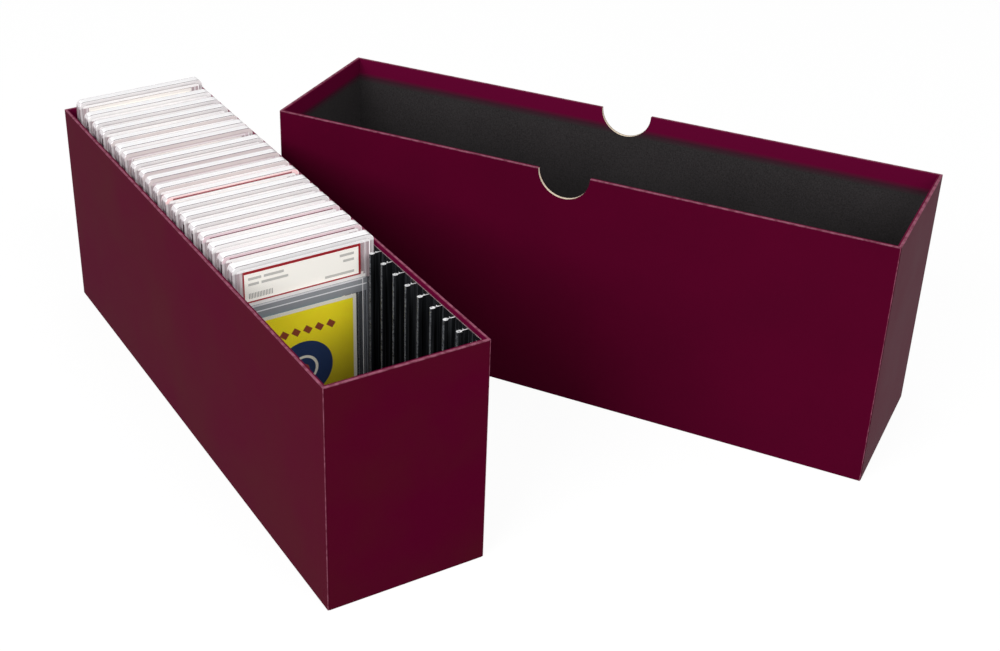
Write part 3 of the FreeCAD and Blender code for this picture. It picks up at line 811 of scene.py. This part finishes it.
def window_plastic(name, solid):
    """A shell's panel: clear over the paper, denser where moulded solid, in painted shade beside the
    card.
    """
    material, tree = new_material(name)
    across, up = across_and_up(tree, UV_SPAN, UV_SPAN)
    aside = measure(tree, "ABSOLUTE", across)
    label_side, card_side = LABEL[1].x / MM + SEEN_WIDER, CARD[1].x / MM
    label_foot, label_top = LABEL[0].z / MM + SEEN_LOWER, LABEL[1].z / MM + SEEN_LOWER
    card_top = CARD[1].z / MM + SEEN_LOWER
    bands = (  # from and to aside, from and to upwards, the tone and its density
        # painted shade: the dark ribs and tray behind, seen through beside the card
        (card_side + 1.2, FAR, 0, label_foot - 2.6, (0.085, 0.09, 0.10), 0.45),
        (card_side + 4.9, card_side + 5.6, 0, label_foot - 2.8, (0.36, 0.38, 0.42), 0.6),
        (label_side + 0.3, FAR, label_foot - 2.6, label_top + 0.3, (0.40, 0.32, 0.34), 0.75),
        (label_side + 1.6, label_side + 2.1, label_foot - 2.6, label_top, (0.62, 0.55, 0.57), 0.8),
        (0, FAR, label_top - 0.2, TALL / MM, solid, 0.92),
        (0, card_side + 5.2, card_top + 0.5, label_foot - 2.0, (0.27, 0.28, 0.30), 0.85),
        (0, card_side + 5.2, card_top + 4.4, card_top + 5.1, (0.80, 0.80, 0.82), 0.9),
        (0, label_side + 1.5, label_foot - 2.0, label_foot - 0.2, (0.94, 0.91, 0.89), 0.9),
    )
    colour, cover = CLEAR_TONE, CLEAR_COVER
    for left, right, low, high, tone, density in bands:
        here = oblong(tree, aside, up, left, right, low, high)
        colour = fade(tree, here, colour, tone)
        change = measure(tree, "MULTIPLY", here, measure(tree, "SUBTRACT", density, cover))
        cover = measure(tree, "ADD", cover, change)
    finish(tree, colour, 0.06, specular=0.06)
    let_light_in(tree, cover)
    emboss(tree, noise(tree, 20 * MM, detail=2), 0.01 * MM, strength=0.3)
    return material


def side_plastic(name, slit_tone):
    """A shell's side wall: grey stripes, a bright one, and a slit in painted shade, or shut."""
    material, tree = new_material(name)
    through, up = across_and_up(tree, UV_SPAN, UV_SPAN)
    colour = fade(tree, noise(tree, 4 * MM), *WALL_TONES)
    colour = draw_lines(tree, colour, through, WALL_STRIPES)
    slit = oblong(tree, through, up, *SLIT_PLACE, SLIT_FOOT, SLIT_TOP)
    # where open, the slit's dark is painted shade in the gap
    finish(tree, fade(tree, slit, colour, slit_tone), 0.12)
    let_light_in(tree, 0.95)
    emboss(tree, scaled(tree, slit, -1.0), 0.4 * MM)
    return material


window = window_plastic("clear_window", (0.88, 0.86, 0.865))
# Painted refraction: the label's colour seen through the panel's solid top.
tinted_window = window_plastic("clear_window_tinted", (0.60, 0.51, 0.54))
shut_side = side_plastic("clear_side_shut", (0.17, 0.145, 0.155))
# painted shade in the open slit
open_side = side_plastic("clear_side_open", (0.008, 0.0075, 0.009))
print("window and side plastics ready")

# %% [markdown]
# ## The shell of a slab
#
# Each slab is two moulded shells welded face to face. A shell is a plate with rounded corners and a
# raised rim, a recessed panel, and low ridges round the label and the card. One shell is modelled
# from a box: its corners are bevelled, its face is inset and sunk, and the ridges are thin frames.
# The rear shell is its mirror image.

# %% Model the front shell
CORNER, CORNER_STEPS = 3.5 * MM, 7
CHAMFER = 0.4 * MM
RIM = 3.0 * MM
RECESS = 0.5 * MM
WELD_GAP = 0.02 * MM
FRONT = -DEEP / 2
PANEL = FRONT + RECESS
RIDGE_ROOT = 0.05 * MM


def turns_to_side(edge):
    """Whether an edge lies in the front plane, between a face to the front and one to a side."""
    in_front = all(vertex.co.y < FRONT + TOUCH for vertex in edge.verts)
    return in_front and sorted(round(abs(face.normal.y)) for face in edge.link_faces) == [0, 1]


def model_plate(name):
    """A rounded plate with a raised rim round a sunk panel, facing the front."""
    plate = start_box(name, (-WIDE / 2, FRONT, 0), (WIDE / 2, -WELD_GAP, TALL))
    pick(plate, "EDGE", runs_through)
    bpy.ops.mesh.bevel(offset=CORNER, segments=CORNER_STEPS, affect="EDGES")
    pick(plate, "FACE", looks_front)
    bpy.ops.mesh.inset(thickness=TOUCH, depth=0)
    pick(plate, "EDGE", turns_to_side)
    bpy.ops.mesh.bevel(offset=CHAMFER, segments=1, affect="EDGES")
    pick(plate, "FACE", lambda face: looks_front(face) and face.calc_area() > 0.5 * WIDE * TALL)
    bpy.ops.mesh.inset(thickness=RIM - 2 * CHAMFER, depth=0)
    bpy.ops.mesh.inset(thickness=CHAMFER, depth=-RECESS)
    return done(plate)


def model_ridge(name, half, low, high, width, rise):
    """A thin raised frame on a shell's panel, round the label or the card."""
    ridge = start_box(name, (-half, PANEL - rise, low), (half, PANEL + RIDGE_ROOT, high))
    pick(ridge, "FACE", lambda face: abs(face.normal.y) > 0.9)
    bpy.ops.mesh.inset(thickness=width, depth=0)
    bpy.ops.mesh.bridge_edge_loops()
    return done(ridge)


shell = model_plate("shell_model")
label_ridge = model_ridge("label_ridge", LABEL[1].x + 1.5 * MM, LABEL[0].z - 1.0 * MM,
                          LABEL[1].z + 2.3 * MM, width=0.3 * MM, rise=0.12 * MM)
card_ridge = model_ridge("card_ridge", SLEEVE[1].x + 2.0 * MM, SLEEVE[0].z - 1.8 * MM,
                         LABEL[0].z - 1.2 * MM, width=0.4 * MM, rise=0.15 * MM)
print("front shell has", len(shell.data.polygons), "faces without its ridges")

# %% [markdown]
# ## Finish the shell
#
# Every face of the shell gets its plastic by its place and direction: the panel its window, the
# raised rim its tint, the chamfers their fine lines. The UV map is laid in real distances, and the
# rear shell is then a mirrored copy, with the map turned to match on its sides and its top.

# %% Give the shell its plastics and mirror it
SHELL_SLOTS = {"window": window, "rim": rim_plastics["white"], "side": shut_side,
               "crown": crown, "edge": edge_plastic, "seam": seam_plastics["white"],
               "corner": corner_plastic, "bright": bright_plastic, "upright": shut_upright}
SLOPE_END = FRONT + 0.45 * MM
OUTER_BAND = 0.6 * MM
SMALLEST_SLOPE = 0.01 * MM * MM


def shell_slot(face):
    """The name of the slot for a face of the shell, by its place and direction."""
    centre, normal = face.center, face.normal
    if normal.y > 0.9:
        return "window"
    if normal.y < -0.99:
        on_panel = abs(centre.x) < WIDE / 2 - RIM and RIM < centre.z < TALL - RIM
        return "window" if on_panel else "rim"
    if centre.y < SLOPE_END and abs(normal.y) > 0.4 and face.area > SMALLEST_SLOPE:
        outside = min(WIDE / 2 - abs(centre.x), centre.z, TALL - centre.z) < OUTER_BAND
        level = abs(normal.x) < 0.5
        if outside:
            return "edge" if level else "upright"
        return "seam" if level else "bright"
    if abs(normal.x) > 0.99:
        return "side"
    return "crown" if normal.z > 0.75 else "corner"


def faces_away(face):
    """Whether a face belongs to a shell's sides, top or foot."""
    return abs(face.normal.y) < 0.1


def lay_map(model):
    """A UV map of real distances: across and up, but through and up or across on the sides."""
    layer = model.data.uv_layers.active
    for face in model.data.polygons:
        aside = faces_away(face)
        on_top = aside and abs(face.normal.z) > 0.75
        for loop in face.loop_indices:
            point = model.data.vertices[model.data.loops[loop].vertex_index].co
            first = point.y if aside else point.x
            second = point.x if on_top else point.z
            layer.data[loop].uv = (first / UV_SPAN, second / UV_SPAN)


for piece in (shell, label_ridge, card_ridge):
    for material in SHELL_SLOTS.values():
        piece.data.materials.append(material)
slot_numbers = {name: number for number, name in enumerate(SHELL_SLOTS)}
for face in shell.data.polygons:
    face.material_index = slot_numbers[shell_slot(face)]
for ridge in (label_ridge, card_ridge):
    for face in ridge.data.polygons:
        face.material_index = slot_numbers["bright"]
counts = {name: sum(face.material_index == number for face in shell.data.polygons)
          for name, number in slot_numbers.items()}
print("faces of the shell by slot:", counts)

front_model = join([shell, label_ridge, card_ridge], "front_shell_model")
lay_map(front_model)
bpy.ops.object.select_all(action="DESELECT")
front_model.select_set(True)
bpy.context.view_layer.objects.active = front_model
bpy.ops.object.duplicate()
rear_model = bpy.context.active_object
rear_model.name = rear_model.data.name = "rear_shell_model"
rear_model.scale = (1, -1, 1)
bpy.ops.object.transform_apply(location=True, rotation=True, scale=True)
bpy.ops.object.mode_set(mode="EDIT")
done(rear_model)
layer = rear_model.data.uv_layers.active
for face in filter(faces_away, rear_model.data.polygons):
    for loop in face.loop_indices:
        layer.data[loop].uv.x *= -1
print("a shell has", len(front_model.data.polygons), "faces with its ridges")

# %% [markdown]
# ## Sleeve, label and card
#
# The card sits in a clear film sleeve, open at the top. The label is paper with a coloured border.
# Label and card are thin boxes whose edges are bevelled, and both carry a UV map in which 0 to 1 runs
# across and up the printed face, so that a print can be drawn on them in proportion.

# %% Model the sleeve, the label and the card
SLEEVE_WALL = 0.3 * MM
SLEEVE_FLOOR = 0.4 * MM


def printed_sheet(name, box, corner):
    """A thin sheet with rounded corners and a UV map across its faces."""
    sheet = start_box(name, *box)
    pick(sheet, "EDGE", runs_through)
    bpy.ops.mesh.bevel(offset=corner, segments=3, affect="EDGES")
    done(sheet)
    low, high = box
    layer = sheet.data.uv_layers.active
    for loop in sheet.data.loops:
        point = sheet.data.vertices[loop.vertex_index].co
        layer.data[loop.index].uv = ((point.x - low.x) / (high.x - low.x),
                                     (point.z - low.z) / (high.z - low.z))
    return sheet


label_model = printed_sheet("label_model", LABEL, corner=0.4 * MM)
card_model = printed_sheet("card_model", CARD, corner=0.5 * MM)
sleeve_model = start_box("sleeve_model", *SLEEVE)
pocket_depth = SLEEVE[1].z - SLEEVE[0].z - SLEEVE_FLOOR
pick(sleeve_model, "FACE", lambda face: face.normal.z > 0.9)
bpy.ops.mesh.inset(thickness=SLEEVE_WALL, depth=0)
bpy.ops.mesh.extrude_region_move(TRANSFORM_OT_translate={"value": (0, 0, -pocket_depth)})
done(sleeve_model)
sleeve_model.data.materials.append(sleeve_plastic)
print("sleeve, label and card modelled")

# %% [markdown]
# ## Label and card prints
#
# The label is warm white with a coloured border, a few plain grey rules and a short strip of bars.
# Behind the first slab only the labels' top edges show, so there the border is pale and the ink
# faint. Each card carries a plain geometric print in strong colours: a field, a row of diamonds, a
# ringed disc and a band. The field darkens downwards: painted shade from the tray's front wall. All
# of it is drawn by arithmetic on the UV map, so there is no picture file.

# %% Label print
LABEL_RED = (0.33, 0.004, 0.012)
LABEL_PALE = (0.84, 0.80, 0.77)
LABEL_CREAMS = ((0.99, 0.955, 0.88), (1.0, 0.97, 0.91))
LABEL_INK = (0.16, 0.15, 0.15)
BORDER_SIDE, BORDER_FOOT, BORDER_TOP = 1.25, 0.9, 1.7
RULES = (  # left, right, low and high, in millimetres from the lower left corner
    (3.5, 11.0, 13.4, 14.9), (12.5, 24.0, 13.4, 14.9), (3.5, 9.5, 10.1, 11.6),
    (11.0, 26.5, 10.1, 11.6), (57.0, 65.5, 13.4, 14.9), (59.0, 65.5, 9.9, 11.4),
    (48.0, 65.5, 2.6, 4.1),
)
RULE_DARKNESS = 0.62
BAR_STRIP = (3.2, 17.5, 2.4, 5.6)
BAR_RATE, BAR_SHARE = 7.1, 0.1


def size_in_mm(box):
    """The width and height of a flat piece."""
    size = box[1] - box[0]
    return size.x / MM, size.z / MM


def label_print(name, border, strength):
    """Cream paper with a border, and grey rules and a strip of bars of some strength."""
    material, tree = new_material(name)
    width, height = size_in_mm(LABEL)
    across, up = across_and_up(tree, width * MM, height * MM)
    mottle = noise(tree, 4 * MM)
    field = oblong(tree, across, up, BORDER_SIDE, width - BORDER_SIDE, BORDER_FOOT, height - BORDER_TOP)
    paper = fade(tree, field, border, fade(tree, mottle, *LABEL_CREAMS))
    ink = 0.0
    for rule in RULES:
        ink = either(tree, ink, oblong(tree, across, up, *rule))
    waves = measure(tree, "SINE", scaled(tree, across, BAR_RATE))
    bars = both(tree, oblong(tree, across, up, *BAR_STRIP),
                measure(tree, "GREATER_THAN", waves, BAR_SHARE))
    ink = either(tree, scaled(tree, ink, RULE_DARKNESS), bars)
    finish(tree, fade(tree, scaled(tree, ink, strength), paper, LABEL_INK), 0.55)
    emboss(tree, mottle, 0.01 * MM, strength=0.4)
    return material


label_prints = {"red": label_print("label_print_red", LABEL_RED, strength=0.9),
                "plain": label_print("label_print_plain", LABEL_PALE, strength=0.25)}
print(len(label_prints), "label prints")

# %% Card prints
CARD_PAPER, CARD_PALE = (0.86, 0.82, 0.72), (0.85, 0.8, 0.66)
CARD_BORDER = 2.0
# How dark the field's painted shade gets, and between which heights.
FIELD_SHADE, FIELD_DARKENS = 0.55, (74.0, 30.0)
BAND_HIGH, BAND_LINE = 31.0, 2.0
DIAMOND_UP, DIAMOND_PITCH, DIAMOND_REACH, DIAMOND_CLIMB = 74.5, 7.0, 2.9, 0.25
DIAMOND_ENDS = (9.4, 51.4)
DISC_ACROSS, DISC_UP = 31.0, 50.0
DISC_REACH, RING, DOT_REACH = 17.5, (7.0, 8.6), 3.2
CARD_INKS = (  # the field, the disc, and the band with the diamonds
    ((0.98, 0.76, 0.006), (0.006, 0.026, 0.10), (0.27, 0.045, 0.015)),
    ((0.10, 0.32, 0.42), (0.42, 0.03, 0.03), (0.75, 0.55, 0.12)),
    ((0.55, 0.10, 0.05), (0.03, 0.06, 0.10), (0.80, 0.72, 0.50)),
    ((0.12, 0.30, 0.14), (0.62, 0.40, 0.08), (0.05, 0.05, 0.12)),
)


def offset(tree, value, middle):
    """A value counted from a middle."""
    return measure(tree, "SUBTRACT", value, middle)


def diamonds(tree, across, up):
    """1 inside a row of diamonds, else 0."""
    slant = measure(tree, "ADD", across, scaled(tree, up, DIAMOND_CLIMB))
    beside = offset(tree, measure(tree, "MODULO", slant, DIAMOND_PITCH), DIAMOND_PITCH / 2)
    beside = measure(tree, "ABSOLUTE", beside)
    above = measure(tree, "ABSOLUTE", offset(tree, up, DIAMOND_UP))
    shape = measure(tree, "LESS_THAN", measure(tree, "ADD", beside, above), DIAMOND_REACH)
    return both(tree, shape, inside(tree, across, *DIAMOND_ENDS))


def card_print(name, field, disc, band):
    """A card with a pale border, a coloured field, a row of diamonds, a ringed disc and a band."""
    material, tree = new_material(name)
    width, height = size_in_mm(CARD)
    across, up = across_and_up(tree, width * MM, height * MM)
    mottle = noise(tree, 3 * MM)
    colour = fade(tree, mottle, field, times(field, 1.15))
    # painted shade: the field darkens downwards, where the tray's front wall shades the card
    colour = fade(tree, step_up(tree, up, *FIELD_DARKENS), colour, times(field, FIELD_SHADE))
    colour = draw_lines(tree, colour, up, ((0.0, BAND_HIGH, band),
                                           (BAND_HIGH, BAND_HIGH + BAND_LINE, CARD_PALE)))
    colour = fade(tree, diamonds(tree, across, up), colour, band)
    squares = [measure(tree, "POWER", offset(tree, place, middle), 2.0)
               for place, middle in ((across, DISC_ACROSS), (up, DISC_UP))]
    reach = measure(tree, "SQRT", measure(tree, "ADD", *squares))
    colour = fade(tree, measure(tree, "LESS_THAN", reach, DISC_REACH), colour, disc)
    colour = fade(tree, inside(tree, reach, *RING), colour, CARD_PALE)
    colour = fade(tree, measure(tree, "LESS_THAN", reach, DOT_REACH), colour, band)
    printed = oblong(tree, across, up, CARD_BORDER, width - CARD_BORDER,
                     CARD_BORDER, height - CARD_BORDER)
    finish(tree, fade(tree, printed, CARD_PAPER, colour), 0.4)
    emboss(tree, mottle, 0.008 * MM, strength=0.3)
    return material


card_prints = [card_print(f"card_print_{number}", *inks) for number, inks in enumerate(CARD_INKS, 1)]
print(len(card_prints), "card prints")

# %% [markdown]
# ## Stand a slab in every slot
#
# Each slab gets its own copy of the five models, moved into place by its matrix. The copies ride on
# the slab's body, so that the slab lifts out as a whole, and they stand for the plain CAD solids.
# The slabs differ in their rims' tint, in how their panels' tops are tinted, both a painted
# refraction of the label, and in their side slits.

# %% Copy the slab into its nineteen places
# each slab's rim tint, a painted refraction of its label
SLAB_TINTS = ("white", "pink", "white", "pink", "grey", "grey", "grey", "red", "blush", "blush",
              "blush", "grey", "blush", "white", "blush", "grey", "grey", "white", "grey")
# slabs whose open slits carry painted shade
OPEN_SLITS = (2, 4, 5, 6, 16, 18)
# slabs whose panel tops carry the painted refraction of the label
TINTED_PANELS = (10, 11, 13)
MODELS = {"front_shell": front_model, "rear_shell": rear_model, "sleeve": sleeve_model,
          "label": label_model, "card": card_model}


def copy_to(model, name, matrix, body):
    """A copy of a model with its own mesh, moved to its place, riding on a body."""
    piece = model.copy()
    piece.data = model.data.copy()
    piece.name = piece.data.name = name
    piece.data.transform(matrix)
    bpy.context.collection.objects.link(piece)
    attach(piece, body)
    return piece


def vary_shell(piece, number):
    """Gives a shell the plastics of the slab with this number, counted from the front."""
    tint = SLAB_TINTS[number - 1]
    changes = {"rim": rim_plastics[tint], "seam": seam_plastics[tint]}
    if number in TINTED_PANELS:
        changes["window"] = tinted_window
    if number in OPEN_SLITS:
        changes["side"] = open_side
        changes["upright"] = open_upright
    for slot, material in changes.items():
        piece.data.materials[slot_numbers[slot]] = material


for number, body in enumerate(SLABS, 1):
    for part, model in MODELS.items():
        kind = "clear" if "shell" in part else "new"
        piece = copy_to(model, f"{body}_{kind}_{part}", stands[body][0], body)
        if part == "card":
            piece.data.materials.append(card_prints[(number - 1) % len(card_prints)])
        elif part == "label":
            piece.data.materials.append(label_prints["red" if number == 1 else "plain"])
        elif "shell" in part:
            vary_shell(piece, number)
        single = f"{body}_{part}"
        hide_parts(single if single in nodes else body)
for model in MODELS.values():
    bpy.data.objects.remove(model)
print(len(SLABS) * len(MODELS), "slab pieces stand in the tray")
